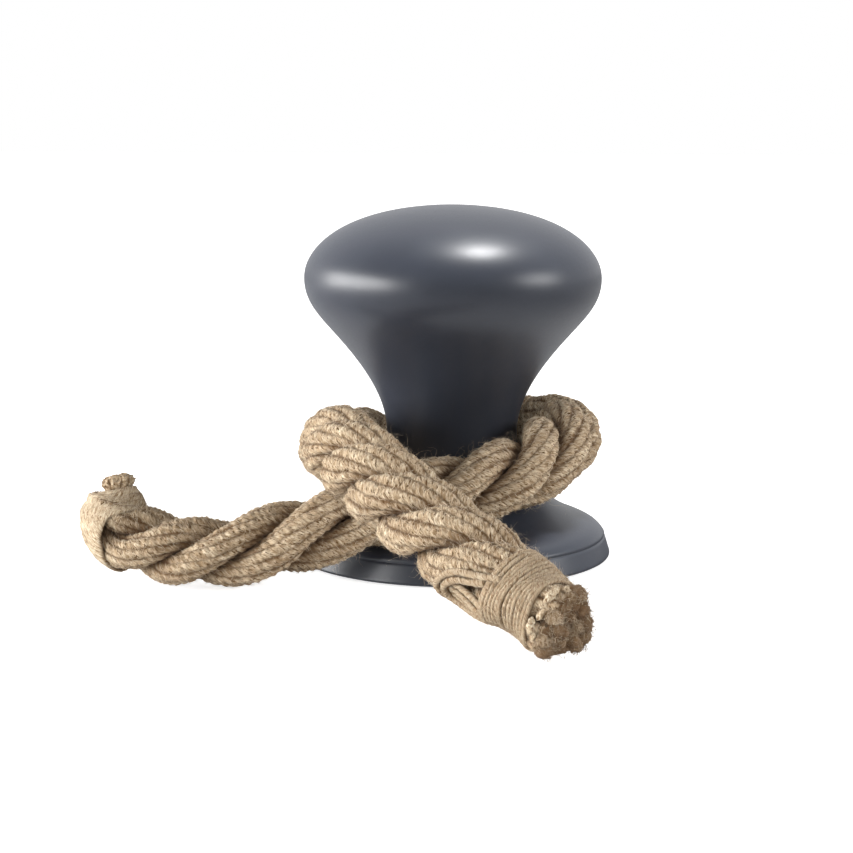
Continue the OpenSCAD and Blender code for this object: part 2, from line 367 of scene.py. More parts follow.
def strand_piece(k, half, i0, i1):
    """One strand over half the rope, with rounded, ragged ends."""
    points, fibre, look = strand_surface(k, i0, i1)
    shrink = np.array([0.9, 0.68, 0.4, 0.12])[:, None, None]
    rise = np.array([0.5, 0.9, 1.1, 1.2])[:, None, None] * MM
    for order, towards in ((-1, -rope.t[i0]), (1, rope.t[i1])):
        # the rings are taken in reverse while the left cap is added
        points, fibre, look = points[::order], fibre[::order], look[::order]
        middle = points[-1].mean(axis=0)
        cap = middle + (points[-1] - middle) * shrink + towards * rise
        cap = cap + towards * (1.1 * MM * (noise(cap / MM * 1.1) - 0.5)[..., None])
        # the caps take the painted shade of the rope's inside
        dark = np.broadcast_to([0.6, 1.0, 0.5], cap.shape)
        points = np.concatenate([points, cap])[::order]
        fibre = np.concatenate([fibre, fibre[-1] + shrink * 3])[::order]
        look = np.concatenate([look, dark])[::order]
    return tubes(f"strand_{STRANDS[k]}_{half}", points[None], fibre=fibre, look=look)


# ---------------------------------------------------------------- fibres, yarn ends and whippings


def hairs(name, start, heading, length, curl, radius, look, rng, points=6):
    """Thin curved fibres. start, heading and look are (hair, 3), and curl is how far each one bends."""
    count = len(start)
    t = np.linspace(0, 1, points)[None, :, None]
    bend = unit(np.cross(heading, rng.normal(size=(count, 3)))) * curl[:, None]
    wave = unit(np.cross(heading, rng.normal(size=(count, 3)))) * (curl * 0.35)[:, None]
    path = start[:, None] + heading[:, None] * (length[:, None, None] * t)
    path = path + bend[:, None] * t**2 + wave[:, None] * np.sin(2 * math.pi * t)
    path[..., 2] = np.maximum(path[..., 2], 0.25 * MM)  # none goes through the floor
    rings = round_rings(path, radius[:, None] * (1 - 0.65 * t[..., 0]), sides=3)
    return tubes(name, rings, look=np.broadcast_to(look[:, None, None], rings.shape))


def lying_fibres(name, skin, out, along, look, count, seed):
    """Short loose fibres that lie on the yarns, each in its own shade."""
    rng = np.random.RandomState(seed)
    pick = rng.randint(0, len(skin), count)
    tilt = rng.normal(-0.6, 0.55, count)
    side = np.cross(out[pick], along[pick])
    flat = along[pick] * np.cos(tilt)[:, None] + side * np.sin(tilt)[:, None]
    flat = flat * rng.choice([-1.0, 1.0], count)[:, None]
    heading = unit(flat + out[pick] * rng.uniform(0, 0.2, count)[:, None])
    length = rng.uniform(1.0, 3.4, count) * MM
    curl = length * rng.uniform(0.05, 0.35, count)
    radius = rng.uniform(0.04, 0.10, count) * MM
    # a fibre deep in the rope carries part of the painted shade of the skin under it
    tint = vectors(0, 0.7 * look[pick, 1], rng.rand(count))
    return hairs(name, skin[pick], heading, length, curl, radius, tint, rng, points=4)


def stray_hairs(name, skin, out, along, count, seed):
    """Thin hairs that stand off the rope and curl."""
    rng = np.random.RandomState(seed)
    pick = rng.randint(0, len(skin), count)
    side = np.cross(out[pick], along[pick])
    way = along[pick] * rng.normal(size=(count, 1)) + side * rng.normal(size=(count, 1))
    heading = unit(way + out[pick] * rng.uniform(0.2, 1.3, count)[:, None])
    length = np.minimum(0.8 + rng.exponential(1.3, count), 6) * MM
    curl = length * rng.uniform(0.4, 1.4, count)
    radius = rng.uniform(0.018, 0.035, count) * MM
    tint = vectors(0, 0, 0.6 * rng.rand(count))
    return hairs(name, skin[pick], heading, length, curl, radius, tint, rng, points=8)


def yarn_ends(name, i, towards, depth, spread, reach, ragged, seed):
    """The cut ends of every yarn at station i, each a short frayed stub, with their tips, headings and radii.

    Each strand has a ring of yarns, one in its middle, and one in the valley beside it.
    """
    rng = np.random.RandomState(seed)
    paths, sizes, tints = [], [], []
    swell = np.array([1, 1, 1, 1.02, 1.03, 1.0, 0.9, 0.66, 0.25])  # along a stub
    t = np.linspace(0, 1, len(swell))[:, None]
    rho = STRAND_RADIUS * rope.g[i]
    for k in range(3):
        a = rope.a[i] + 2 * math.pi * k / 3
        out = turned(rope.n[i], rope.b[i], a)
        side = turned(rope.b[i], -rope.n[i], a)
        for y in range(YARNS + 2):
            w = 2 * math.pi * (y + rng.uniform(-0.2, 0.2)) / YARNS
            push = turned(out, side, w)
            centre = rope.c[i] + STRAND_OFFSET * rope.g[i] * out
            arm = YARN_RING * rho if y < YARNS else 0.0
            if y > YARNS:
                push = 0.5 * out + 0.866 * side  # halfway to the next strand
                centre, arm = rope.c[i], YARN_RING * rope.g[i]
            root = centre + arm * push - towards * depth
            dome = 1 - 0.3 * (np.linalg.norm(root + towards * depth - rope.c[i]) / rope.g[i]) ** 2
            stretch = depth + reach * dome * (1 - ragged * rng.uniform(0, 1))
            lean = push * (spread * rng.uniform(0.1, 1.0) * (arm > 0)) + 0.25 * rng.normal(size=3) * spread
            paths.append(root + towards * (stretch * t) + lean * (stretch * t**2))
            sizes.append(CUT_YARN * rho * rng.uniform(0.85, 1.1) * swell)
            tints.append([0.5, rng.uniform(0.3, 1.0), rng.rand()])
    paths, sizes = np.array(paths), np.array(sizes)
    rings = round_rings(paths, sizes, sides=12)
    grain = (noise(rings / MM * 1.7) - 0.5)[..., None]
    axis = rings.mean(axis=2, keepdims=True)
    rings = axis + (rings - axis) * (1 + 0.6 * grain)
    rings = rings + towards * (grain * 1.4 * MM) * t[:, None]
    look = np.broadcast_to(np.array(tints)[:, None, None], rings.shape)
    piece = tubes(name, rings, look=look, fibre=(rings - rope.c[i]) / MM)
    return piece, paths[:, -2], unit(paths[:, -1] - paths[:, -3]), sizes[:, 3]


def pressed_end(name, seed):
    """The left end's cut yarns, pressed into one rounded stub that stands out of the whipping."""
    # height above the root and radius, in millimetres: a neck in the whipping, and a bulging head above it
    outline = np.array(
        [
            (0, 5.2), (4.5, 4.9), (5.5, 4.4), (6.4, 4.3), (7.3, 4.8),
            (8.4, 5.3), (9.6, 5.1), (10.7, 4.1), (11.5, 2.5), (11.8, 0.5),
        ]
    )
    steps = np.linspace(0, len(outline) - 1, 70)
    rise, wide = smooth_curve(np.arange(len(outline)), outline * MM, steps).T
    root = rope.c[rope.index(STUB_ROOT)]
    up = unit(rope.c[0] - root)
    w = 2 * math.pi * np.arange(SIDES) / SIDES
    yarn = w * YARNS / (2 * math.pi) + 0.5 * noise(vectors(w * 2, 0, seed))
    groove = (1 - np.abs(np.sin(math.pi * yarn))) ** 3
    lobes = 1 + 0.07 * np.cos(3 * (w - rope.a[0]))
    side = turned(rope.n[0], rope.b[0], w)
    far = wide[:, None] * lobes * (1 - 0.09 * groove)
    rings = root + up * rise[:, None, None] + far[..., None] * side
    rough = noise(rings / MM * 0.9) - 0.5
    fuzz = noise(rings / MM * 2.1 + 9) - 0.5
    rings = rings + (1.5 * rough + 0.6 * fuzz)[..., None] * MM * (side + 0.6 * up)
    fibre = np.stack([(rings - root) @ axis / MM for axis in (rope.n[0], rope.b[0], up)], axis=-1)
    top = np.clip((rise[:, None] / MM - 10) / 3, 0, 0.4)
    # the grooves between the pressed yarns are darkened as painted shade, and the top a little darker
    look = vectors(groove, top, 0.3 + 0.5 * (np.floor(yarn) * 0.618 % 1))
    return tubes(name, rings[None], fibre=fibre, look=look)


def end_tuft(name, tips, heading, size, per_yarn, reach, seed):
    """Loose fibres that burst from the cut yarns."""
    rng = np.random.RandomState(seed)
    pick = np.repeat(np.arange(len(tips)), per_yarn)
    jitter = rng.normal(size=(len(pick), 3))
    start = tips[pick] + jitter * size[pick, None] * 0.42 - heading[pick] * 1.2 * MM
    aim = unit(heading[pick] + 1.3 * rng.normal(size=(len(pick), 3)))
    length = reach * rng.uniform(0.25, 1.0, len(pick))
    curl = length * rng.uniform(0.4, 1.4, len(pick))
    radius = rng.uniform(0.04, 0.10, len(pick)) * MM
    clump = 0.15 + 1.1 * rng.rand(len(tips))[pick] ** 0.8 + 0.18 * rng.normal(size=len(pick))
    tint = vectors(0, np.clip(clump, 0, 1), 0.6 * rng.rand(len(pick)))
    return hairs(name, start, aim, length, curl, radius, tint, rng)


def hull_radius(delta):
    """Radius of a band drawn tight over the strands, in rope radii, at an angle delta from a strand."""
    d = np.abs((delta + math.pi / 3) % (2 * math.pi / 3) - math.pi / 3)
    circle = STRAND_OFFSET * np.cos(d) + np.sqrt(
        np.maximum(STRAND_RADIUS**2 - (STRAND_OFFSET * np.sin(d)) ** 2, 0)
    )
    line = (STRAND_OFFSET / 2 + STRAND_RADIUS) / np.cos(math.pi / 3 - d)
    leaves_strand = math.radians(27)
    return np.where(d < leaves_strand, circle, line)


def skin_at(s, angle, roundness):
    """Points on a band round the rope, at distances s and angles, with their out and along directions."""
    i = np.clip(s / rope.length * (len(rope.s) - 1), 0, len(rope.s) - 1.001)
    low, part = i.astype(int), (i % 1)[:, None]

    def at(values):
        return values[low] * (1 - part) + values[low + 1] * part

    n, b, t = unit(at(rope.n)), unit(at(rope.b)), unit(at(rope.t))
    strands = hull_radius(angle - at(rope.a[:, None])[:, 0])
    tight = (1 - roundness) * strands + roundness * ROUND_BAND
    out = turned(n, b, angle)
    radius = tight * at(rope.g[:, None])[:, 0]
    return at(rope.c) + radius[:, None] * out, out, t


def twine(name, s, angle, width, thick, lift, seed, roundness, shade):
    """Twine laid on the rope's skin, and places on it for loose fibres.

    width lies along the rope, thick stands off it, and lift raises its middle, in thicknesses. roundness goes
    from 0, where it is drawn tight over the strands, to 1, where it lies on a circle.
    """
    rng = np.random.RandomState(seed)
    skin, out, t = skin_at(s, angle, roundness)
    ahead = skin_at(s + 0.5 * MM, angle, roundness)[0]
    back = skin_at(s - 0.5 * MM, angle, roundness)[0]
    fan = np.clip(np.linalg.norm(ahead - back, axis=1) / MM, 0.7, 2.0)  # wraps lie wider outside a bend
    path = skin + out * (lift * thick)[:, None]
    run = run_of(path)
    w = 2 * math.pi * np.arange(TWINE_SIDES) / TWINE_SIDES
    twist = w - 2 * math.pi * run[:, None] / TWINE_PITCH
    ply = 1 + 0.07 * np.cos(2 * twist)
    swell = 1 + 0.25 * (noise(vectors(run / (4 * MM), 0, 3.3 + seed)) - 0.5)
    ridges = noise(vectors(run[:, None] / (7 * MM), 1.1 * np.cos(w), 3.5 * np.sin(w)) + seed)
    shape = ply * (1 + 0.22 * (ridges - 0.5)) * swell[:, None] / 2
    across = unit(np.cross(np.gradient(path, axis=0), out))
    across *= np.sign(np.sum(across * t, axis=1, keepdims=True))
    rings = (
        path[:, None]
        + (np.cos(w) * shape * thick)[..., None] * out[:, None]
        + (np.sin(w) * shape * width * fan[:, None])[..., None] * across[:, None]
    )
    r_mm = thick / 2 / MM
    fibre = vectors(r_mm * np.cos(twist), r_mm * np.sin(twist), run[:, None] / MM)
    # the twine's underside, against the rope, is darkened as painted shade through the groove channel
    look = vectors(0.5 - 0.5 * np.cos(w), 0, shade * swell[:, None])
    piece = tubes(name, rings[None], fibre=fibre, look=look)
    pick = rng.randint(0, len(s), int(run[-1] / MM * 2.0))
    drift = rng.uniform(-0.45, 0.45, len(pick))[:, None] * (width * fan[pick])[:, None] * across[pick]
    roots = path[pick] + out[pick] * thick * 0.42 + drift
    return piece, roots, out[pick], unit(np.gradient(path, axis=0))[pick]


def wraps(s0, s1, turns, width, narrowing, wide_side, seed):
    """Distances and angles along twine that is wound round the rope, and how far it stands off it.

    narrowing is the share of its length that the band loses opposite wide_side, an angle in degrees.
    """
    total = turns * 2 * math.pi * rope.g[rope.index((s0 + s1) / 2)]
    f = np.linspace(0, 1, int(total / TWINE_STEP))
    angle = 2 * math.pi * turns * f
    wobble = noise(vectors(f * turns * 2.2, 0, seed)) - 0.5
    keep = 1 - narrowing * (0.5 - 0.5 * np.cos(angle - math.radians(wide_side)))
    s = s0 + (s1 - s0) * f * keep + wobble * width * 0.5
    sink = np.exp(-((f / TUCK) ** 2)) + np.exp(-(((1 - f) / TUCK) ** 2))
    return s, angle, 0.40 - 1.3 * sink + 0.12 * np.abs(wobble)


# ---------------------------------------------------------------- build the rope

behind = int(np.argmax(rope.c[:, 1]))
last = len(rope.s) - 1


def flex(piece):
    """Bakes a rope piece's placement into its mesh."""
    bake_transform(piece)
    return piece


rope_pieces, twine_pieces, fibre_pieces = [], [], []
under_nub = rope.index(NUB_DEPTH)
for half, i0, i1 in (("left", under_nub, behind), ("right", behind, last)):
    skins, outs, runs, looks = [], [], [], []
    for k in range(3):
        piece = strand_piece(k, half, i0, i1)
        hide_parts(f"strand_{STRANDS[k]}_{half}_tail", f"strand_{STRANDS[k]}_loop")
        rope_pieces.append(flex(piece))
        points, _, look = strand_surface(k, i0, i1)
        outer = look[..., 1] < 0.55
        skins.append(points[outer])
        outs.append(unit(points - points.mean(axis=1, keepdims=True))[outer])
        runs.append(np.broadcast_to(rope.t[i0 : i1 + 1, None], points.shape)[outer])
        looks.append(look[outer])
    skin, out, run, look = (np.concatenate(each) for each in (skins, outs, runs, looks))
    share = (i1 - i0) / last
    lying = lying_fibres(f"lying_fibres_{half}", skin, out, run, look, int(LYING * share), seed=11 + i0)
    stray = stray_hairs(f"stray_hairs_{half}", skin, out, run, int(STRAY * share), seed=12 + i0)
    for piece in (lying, stray):
        fibre_pieces.append(flex(piece))

stub = pressed_end("cut_yarns_left", seed=21)
cut_yarns, tips, heading, size = yarn_ends(
    "cut_yarns_right", last, rope.t[-1], depth=1.6 * MM, spread=0.34, reach=4.0 * MM, ragged=0.7, seed=22
)
tuft = end_tuft("cut_fibres_right", tips, heading, size, per_yarn=85, reach=2.6 * MM, seed=32)
for piece, body in ((stub, "left_tail"), (cut_yarns, "right_tail"), (tuft, "right_tail")):
    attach(piece, body)
rope_pieces += [stub, cut_yarns]
fibre_pieces.append(tuft)


def pale_bits(name, seed):
    """Short pale yarn ends that lie between the right whipping and the cut."""
    rng = np.random.RandomState(seed)
    angle = np.radians([66, 116, 96, 90, 130])
    arm = np.array([1.03, 1.03, 0.95, 0.70, 0.95]) * rope.g[last]
    back = np.array([2.4, 2.9, 1.9, 1.0, 1.8]) * MM  # from the cut
    length = np.array([6.4, 5.8, 4.6, 4.4, 3.8]) * MM
    radius = np.array([1.25, 1.2, 0.8, 0.65, 0.75]) * MM
    out = turned(rope.n[last], rope.b[last], angle)
    middle = rope.c[last] + arm[:, None] * out - rope.t[last] * back[:, None]
    heading = unit(np.cross(out, rope.t[last]) + 0.1 * rope.t[last] + 0.15 * rng.normal(size=out.shape))
    along = np.linspace(-0.5, 0.5, 17)[None, :, None]
    path = middle[:, None] + heading[:, None] * length[:, None, None] * along
    path = path + (0.6 * rope.t[last] + out)[:, None] * (1.6 * MM * (0.25 - along**2))
    taper = 1 - 0.7 * (2 * np.abs(along[..., 0])) ** 3
    rings = round_rings(path, radius[:, None] * taper, sides=16)
    axis = path[:, :, None]
    rings = axis + (rings - axis) * (0.55 + 0.9 * noise(rings / MM * 1.3)[..., None])
    look = np.broadcast_to([0.0, 0.0, 0.1], rings.shape)
    return tubes(name, rings, fibre=(rings - rope.c[last]) / MM, look=look)


bits = pale_bits("cut_bits_right", seed=51)
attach(bits, "right_tail")
twine_pieces.append(bits)


def lay_twine(name, body, s, angle, width, thick, lift, seed, **how):
    """Twine on the rope with the loose fibres that lie along it."""
    piece, roots, outward, along = twine(name, s, angle, width, thick, lift, seed, **how)
    rng = np.random.RandomState(seed)
    heading = unit(along + 0.3 * rng.normal(size=along.shape) - 0.05 * outward)
    length = rng.uniform(1.0, 3.2, len(roots)) * MM
    curl = length * rng.uniform(0.05, 0.25, len(roots))
    radius = rng.uniform(0.035, 0.075, len(roots)) * MM
    tint = vectors(0, 0, rng.rand(len(roots)))
    loose = hairs(f"{name}_fibres", roots, heading, length, curl, radius, tint, rng, points=5)
    for each in (piece, loose):
        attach(each, body)
    twine_pieces.append(piece)
    fibre_pieces.append(loose)
    return piece


def wind(half, width, thick, lead_in, cut_back, narrowing, wide_side, cap_drop, roundness, shade):
    """A whipping's turns, from lead_in after its CAD node's start to cut_back before that node's end."""
    first, end = rope.span(f"{half}_whipping")
    first_turn, last_turn = first + lead_in + width / 2, end - cut_back - width / 2
    s, angle, lift = wraps(first_turn, last_turn, TURNS, width, narrowing, wide_side, seed=19)
    lift = lift - cap_drop * np.exp(-(((s - first) / CAP_HEIGHT) ** 2))
    how = {"seed": 14, "roundness": roundness, "shade": shade}
    wound = lay_twine(f"{half}_twine", f"{half}_tail", s, angle, width, thick, lift, **how)
    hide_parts(f"{half}_whipping")


wind(
    "left", width=2.1 * MM, thick=1.7 * MM, lead_in=0, cut_back=2.5 * MM,
    narrowing=0.72, wide_side=205, cap_drop=CAP_DROP, roundness=0.85, shade=0.15,
)
wind(
    "right", width=1.45 * MM, thick=1.6 * MM, lead_in=2.5 * MM, cut_back=2.4 * MM,
    narrowing=0.10, wide_side=90, cap_drop=0, roundness=0.6, shade=1.0,
)

# the right whipping starts with a loose loop, and three strands below it, that lie ahead of its turns
start = rope.span("right_whipping")[0]
steps = np.linspace(0, len(START_LOOP) - 1, 170)
middle = START_LOOP.mean(axis=0)
for name, size in (("outer", 1.0), ("inner", 0.68)):
    rows = middle + size * (START_LOOP - middle)
    s, angle = smooth_curve(np.arange(len(rows)), rows, steps).T
    lift = 0.75 * np.sin(math.pi * steps / steps[-1]) ** 0.5
    lay_twine(
        f"right_start_loop_{name}", "right_tail", start + s * MM, np.radians(angle), 2.3 * MM, 2.1 * MM, lift,
        seed=41, roundness=0.8, shade=0.8,
    )
for i, rows in enumerate(START_STRANDS):
    steps = np.linspace(0, len(rows) - 1, 60)
    s, angle = smooth_curve(np.arange(len(rows)), rows, steps).T
    lay_twine(
        f"right_start_strand_{i + 1}", "right_tail", start + s * MM, np.radians(angle), 2.4 * MM, 1.8 * MM,
        0.35 + 0 * s, seed=43 + i, roundness=0.62, shade=0.8,
    )


# ---------------------------------------------------------------- the post, turned from the CAD outline


def chain(points, start, reach):
    """Walks from one outline point to the nearest unused one, while it is within reach."""
    left, at, out = [p for p in points if p is not start], start, [start]
    while left:
        near = min(left, key=lambda p: math.dist(p, at))
        if math.dist(near, at) > reach:
            break
        out.append(near)
        left = [p for p in left if p is not near]
        at = near
    return out, left


def casting_outline():
    """The casting's outline as (radius, height) rows in millimetres: up the outside, then down the inside."""
    co = np.array([v.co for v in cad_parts["post_casting"].data.vertices]) / MM
    rows = np.stack([np.hypot(co[:, 0], co[:, 1]), co[:, 2]], axis=1)
    _, group, counts = np.unique(np.round(rows, 1), axis=0, return_inverse=True, return_counts=True)
    group = group.ravel()
    means = np.stack([np.bincount(group, rows[:, i]) / counts for i in range(2)], axis=1)
    circles = [tuple(r) for r, n in zip(means, counts) if n >= CIRCLE_POINTS and r[0] > 1]
    foot = max(circles, key=lambda p: (p[0], -p[1]))
    side = sorted((p for p in circles if p[0] > foot[0] - 3 and p[1] < CREASE_TOP), key=lambda p: p[1])
    seat = max((p for p in circles if p[1] < foot[1] + 5), key=lambda p: (p[1], p[0]))
    above = [p for p in circles if p[1] > seat[1] - 0.1 and p not in side]
    outer, rest = chain([side[-1]] + above, side[-1], OUTER_STEP)
    inner, _ = chain(rest, max(rest, key=lambda p: p[1]), INNER_STEP)
    outer = np.array(outer + [(0.0, co[:, 2].max())])
    run = run_of(outer)
    skin = smooth_curve(run, outer, np.linspace(0, run[-1], 190))
    for _ in range(12):
        # smooths the curve, which goes on past the top as its own mirror image
        long = np.concatenate([skin, skin[-2:-3:-1] * [-1, 1]])
        skin[1:] = (long[:-2] + 2 * long[1:-1] + long[2:]) / 4
    skin[-1, 0] = 0
    side = np.array(side)
    run = run_of(side)
    fine = np.arange(0, run[-1], 0.3)
    side = np.stack([np.interp(fine, run, side[:, i]) for i in range(2)], axis=1)
    side[1:-1] = (side[:-2] + 2 * side[1:-1] + side[2:]) / 4
    lip = [(seat[0], side[0, 1] + 0.4), (seat[0] + 0.4, side[0, 1])]
    return np.concatenate([side, skin, [(0.0, inner[0][1])], inner, lip])


def lathe(name, outline, segments):
    """Turns a closed outline of (radius, height) rows, in millimetres, round the axis."""
    w = 2 * math.pi * np.arange(segments) / segments
    r, z = outline[:, 0, None], outline[:, 1, None]
    rings = vectors(r * np.cos(w), r * np.sin(w), z)
    waver = WAVER * (noise(rings / WAVER_LENGTH + 3) - 0.5) * np.minimum(r / 10, 1)
    rings[..., 0] += waver * np.cos(w)
    rings[..., 1] += waver * np.sin(w)
    bands = grid_faces(len(outline) + 1, segments) % (len(outline) * segments)
    on_axis = (outline[:, 0] == 0).repeat(segments)
    bands = bands[~on_axis[bands].all(axis=1)]
    post = new_mesh(name, rings.reshape(-1, 3) * MM, [bands])
    merge = bmesh.new()
    merge.from_mesh(post.data)
    bmesh.ops.remove_doubles(merge, verts=merge.verts, dist=WELD)
    merge.to_mesh(post.data)
    merge.free()
    return post


post = lathe("painted_post", casting_outline(), POST_SEGMENTS)
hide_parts("post_casting")
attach(post, "post")


# ---------------------------------------------------------------- materials


class Look:
    """Short calls that build the nodes of a material, a world or a light round its own shader."""

    def __init__(self, owner, shader="BSDF_PRINCIPLED"):
        owner.use_nodes = True
        self.owner = owner
        self.tree = owner.node_tree
        self.shader = next(n for n in self.tree.nodes if n.type == shader)

    def put(self, socket, value):
        if isinstance(value, bpy.types.NodeSocket):
            self.tree.links.new(value, socket)
        else:
            socket.default_value = value

    def node(self, kind, inputs, **settings):
        made = self.tree.nodes.new(kind)
        for key, value in settings.items():
            setattr(made, key, value)
        for key, value in inputs.items():
            self.put(made.inputs[key], value)
        return made

    def place(self, space="Object"):
        return self.node("ShaderNodeTexCoord", {}).outputs[space]

    def attribute(self, name):
        return self.node("ShaderNodeAttribute", {}, attribute_name=name).outputs["Vector"]

    def split(self, vector):
        return self.node("ShaderNodeSeparateXYZ", {"Vector": vector}).outputs

    def stretch(self, vector, scale):
        made = self.node("ShaderNodeVectorMath", {0: vector, 1: scale}, operation="MULTIPLY")
        return made.outputs["Vector"]

    def noise(self, vector, scale=1.0, detail=3.0, rough=0.55):
        inputs = {"Vector": vector, "Scale": scale, "Detail": detail, "Roughness": rough}
        return self.node("ShaderNodeTexNoise", inputs).outputs["Fac"]

    def calc(self, operation, a, b):
        return self.node("ShaderNodeMath", {0: a, 1: b}, operation=operation).outputs[0]

    def rescale(self, value, low, high, to_low=0.0, to_high=1.0, ease="LINEAR"):
        inputs = {"Value": value, "From Min": low, "From Max": high, "To Min": to_low, "To Max": to_high}
        return self.node("ShaderNodeMapRange", inputs, interpolation_type=ease).outputs["Result"]

    def mix(self, share, a, b):
        made = self.node("ShaderNodeMix", {}, data_type="RGBA")
        self.put(made.inputs["Factor"], share)
        self.put(made.inputs["A"], a if isinstance(a, bpy.types.NodeSocket) else (*a, 1))
        self.put(made.inputs["B"], b if isinstance(b, bpy.types.NodeSocket) else (*b, 1))
        return next(o for o in made.outputs if o.type == "RGBA")

    def bump(self, height, depth, normal=None):
        inputs = {"Height": height, "Distance": depth, "Strength": 1.0}
        if normal:
            inputs["Normal"] = normal
        return self.node("ShaderNodeBump", inputs).outputs["Normal"]

    def finish(self, **inputs):
        for key, value in inputs.items():
            socket = self.shader.inputs[key.replace("_", " ")]
            if isinstance(value, tuple):
                value = (*value, 1)
            self.put(socket, value)
        return self.owner


def new_look(name):
    return Look(bpy.data.materials.new(name))


def paint_look():
    """Satin slate-blue enamel on a casting."""
    look = new_look("slate_enamel")
    place = look.place()
    broad = look.noise(place, 30, 3)
    peel = look.noise(place, 520, 2)
    dust = look.noise(place, 2600, 2)
    grain = look.noise(place, 1500, 3)
    height = look.split(place)[2]
    edge = look.rescale(height, 0.0004, 0.0016, 1.0, 0.0)
    worn = look.calc("MULTIPLY", edge, look.rescale(look.noise(place, 210, 4), 0.52, 0.62))
    colour = look.mix(look.rescale(broad, 0.35, 0.65), (0.028, 0.032, 0.044), (0.033, 0.038, 0.052))
    colour = look.mix(look.rescale(dust, 0.70, 0.80, 0, 0.30), colour, (0.16, 0.17, 0.19))
    colour = look.mix(look.calc("MULTIPLY", worn, 0.5), colour, (0.11, 0.11, 0.12))
    satin = look.rescale(broad, 0.3, 0.7, 0.33, 0.39)
    rough = look.calc("ADD", satin, look.rescale(grain, 0.3, 0.7, -0.02, 0.03))
    normal = look.bump(peel, 0.018 * MM)
    normal = look.bump(grain, 0.004 * MM, normal)
    return look.finish(Base_Color=colour, Roughness=rough, Normal=normal, IOR=1.5)


def jute_look(name, pale, tan, deep, painted_shade, speck):
    """Spun jute: streaks along the fibres, brown specks, and painted shade in the grooves and deep inside the
    rope.
    """
    look = new_look(name)
    fibre = look.attribute("fibre")
    groove, inner, yarn = look.split(look.attribute("look"))
    fine = look.noise(look.stretch(fibre, (3.6, 3.6, 0.9)), 1, 2, 0.6)
    grain = look.noise(look.stretch(fibre, (1.7, 1.7, 0.5)), 1, 2)
    patch = look.noise(look.stretch(fibre, (0.35, 0.35, 0.15)), 1, 2)
    bits = look.noise(look.stretch(fibre, (1.7, 1.7, 0.9)), 1, 1)
    mottle = look.noise(look.stretch(fibre, (0.95, 0.95, 0.5)), 1, 1)
    colour = look.mix(look.rescale(grain, 0.40, 0.60), tan, pale)
    colour = look.mix(look.rescale(fine, 0.34, 0.52, 0.80, 0.0), colour, deep)
    colour = look.mix(look.rescale(mottle, 0.33, 0.47, 0.72, 0.0), colour, deep)
    colour = look.mix(look.rescale(patch, 0.35, 0.7, 0, 0.45), colour, tan)
    colour = look.mix(look.rescale(yarn, 0, 1, 0.0, 0.38), colour, deep)
    colour = look.mix(look.rescale(bits, 0.59, 0.67, 0, 0.95), colour, speck)
    # painted shade: the grooves between yarns, the twine's underside and the rope's inside are darkened where
    # shade falls
    colour = look.mix(look.rescale(groove, 0.12, 0.8, 0, 0.84), colour, painted_shade)
    colour = look.mix(look.rescale(inner, 0.38, 0.9, 0, 0.75), colour, painted_shade)
    height = look.calc("ADD", fine, grain)
    normal = look.bump(height, 0.22 * MM)
    rough = look.rescale(fine, 0.3, 0.7, 0.95, 0.75)
    return look.finish(
        Base_Color=colour, Roughness=rough, Normal=normal, Specular_IOR_Level=0.15, Sheen_Weight=0.05
    )


def fibre_look(name, pale, brown):
    """Single fibres, each in its own shade between pale and brown."""
    look = new_look(name)
    inner, shade = look.split(look.attribute("look"))[1:3]
    along = look.noise(look.place(), 900, 2)
    share = look.rescale(shade, 0.45, 1.0)
    # inner makes a fibre browner: painted shade for the lying fibres, a random clump tone for the tuft's
    share = look.calc("MAXIMUM", share, inner)
    share = look.calc("ADD", share, look.rescale(along, 0.3, 0.7, -0.15, 0.15))
    colour = look.mix(look.rescale(share, 0, 1), pale, brown)
    rough = look.rescale(along, 0.3, 0.7, 0.5, 0.8)
    normal = look.bump(along, 0.02 * MM)
    return look.finish(Base_Color=colour, Roughness=rough, Normal=normal, Specular_IOR_Level=0.2)


def zinc_look(name, tint):
    """Bright plating with fine brushing, a bloom of dullness and a few dark specks."""
    look = new_look(name)
    place = look.place()
    brushed = look.noise(look.stretch(place, (900, 900, 60)), 1, 3)
    bloom = look.noise(place, 90, 4)
    specks = look.noise(place, 900, 2)
    colour = look.mix(look.rescale(bloom, 0.35, 0.65), tint, tuple(0.78 * c for c in tint))
    colour = look.mix(look.rescale(specks, 0.68, 0.78, 0, 0.6), colour, (0.10, 0.09, 0.08))
    dull = look.rescale(bloom, 0.3, 0.7, 0.26, 0.44)
    rough = look.calc("ADD", dull, look.rescale(brushed, 0.3, 0.7, 0, 0.1))
    normal = look.bump(look.calc("ADD", brushed, bloom), 0.03 * MM)
    return look.finish(Base_Color=colour, Roughness=rough, Normal=normal, Metallic=1.0)


def rubber_look():
    """Black rubber with a matt, slightly dusty grain."""
    look = new_look("pad_rubber")
    place = look.place()
    grain = look.noise(place, 1800, 3)
    dust = look.noise(place, 140, 4)
    colour = look.mix(look.rescale(dust, 0.45, 0.75, 0, 0.5), (0.012, 0.012, 0.013), (0.07, 0.068, 0.064))
    rough = look.rescale(grain, 0.3, 0.7, 0.72, 0.9)
    normal = look.bump(grain, 0.05 * MM)
    return look.finish(Base_Color=colour, Roughness=rough, Normal=normal)


